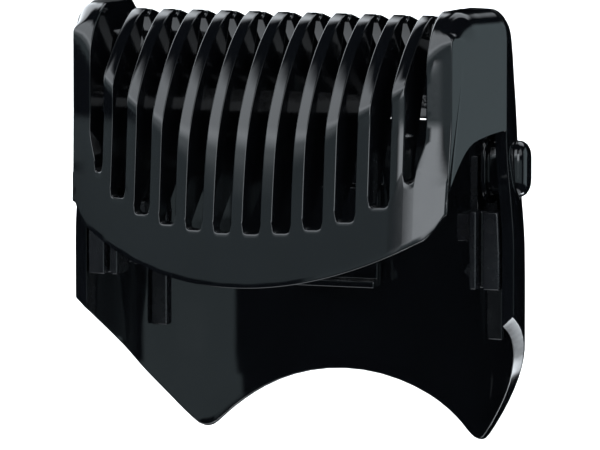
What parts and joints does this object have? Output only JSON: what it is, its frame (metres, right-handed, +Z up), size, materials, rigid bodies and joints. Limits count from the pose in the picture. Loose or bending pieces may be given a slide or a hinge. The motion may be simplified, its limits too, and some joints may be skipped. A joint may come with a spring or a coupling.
{
  "type": "clipper comb attachment",
  "caption": "Slide-on beard and hair clipper comb attachment: slotted comb head on an open rear shell with guide rails, side release buttons and a rear catch.",
  "frame": {"origin": "centre of the bounding box's bottom, level with the two leg tips", "axes": "+X to the right as seen from the comb's front, +Y from the slotted bib to the back wall, +Z up towards the tooth tips"},
  "size_m": [0.055, 0.036, 0.0517],
  "materials": {
    "gloss_abs": "gloss black moulded ABS",
    "rail_pom": "satin black moulded acetal",
    "button_abs": "high-gloss black ABS",
    "spring_steel": "bright spring steel"
  },
  "bodies": {
    "frame": {"comb_head": "gloss_abs", "rear_shell": "gloss_abs", "rear_comb": "gloss_abs", "guide_rail_right": "rail_pom", "guide_rail_left": "rail_pom", "slide_strip_right": "rail_pom", "slide_strip_left": "rail_pom", "pawl_pin_right": "spring_steel", "pawl_pin_left": "spring_steel", "pawl_spring_right": "spring_steel", "pawl_spring_left": "spring_steel"},
    "button_right": {"release_button_right": "button_abs"},
    "button_left": {"release_button_left": "button_abs"},
    "pawl_right": {"latch_pawl_right": "rail_pom"},
    "pawl_left": {"latch_pawl_left": "rail_pom"},
    "tongue": {"catch_tongue": "gloss_abs"}
  },
  "joints": [
    {"name": "button_right_press", "type": "slide", "parent": "frame", "child": "button_right", "axis": [-1, 0, 0], "range_m": [0, 0.001], "stiffness_N_per_m": 800, "springref_m": -0.0004, "deforming": ["pawl_spring_right"]},
    {"name": "button_left_press", "type": "slide", "parent": "frame", "child": "button_left", "axis": [1, 0, 0], "range_m": [0, 0.001], "stiffness_N_per_m": 800, "springref_m": -0.0004, "deforming": ["pawl_spring_left"]},
    {"name": "pawl_right_rock", "type": "hinge", "parent": "frame", "child": "pawl_right", "pos_m": [0.0222, 0.0047, 0.0265], "axis": [0, -1, 0], "range_deg": [0, 8.6], "deforming": ["pawl_spring_right"]},
    {"name": "pawl_left_rock", "type": "hinge", "parent": "frame", "child": "pawl_left", "pos_m": [-0.0222, 0.0047, 0.0265], "axis": [0, 1, 0], "range_deg": [0, 8.6], "deforming": ["pawl_spring_left"]},
    {"name": "catch_flex", "type": "hinge", "parent": "frame", "child": "tongue", "pos_m": [0, 0.01445, 0.0295], "axis": [1, 0, 0], "range_deg": [0, 5], "stiffness_Nm_per_rad": 0.4}
  ],
  "couplings": [
    {"joint": "pawl_right_rock", "follows": "button_right_press", "rad_per_m": 148.15},
    {"joint": "pawl_left_rock", "follows": "button_left_press", "rad_per_m": 148.15}
  ]
}
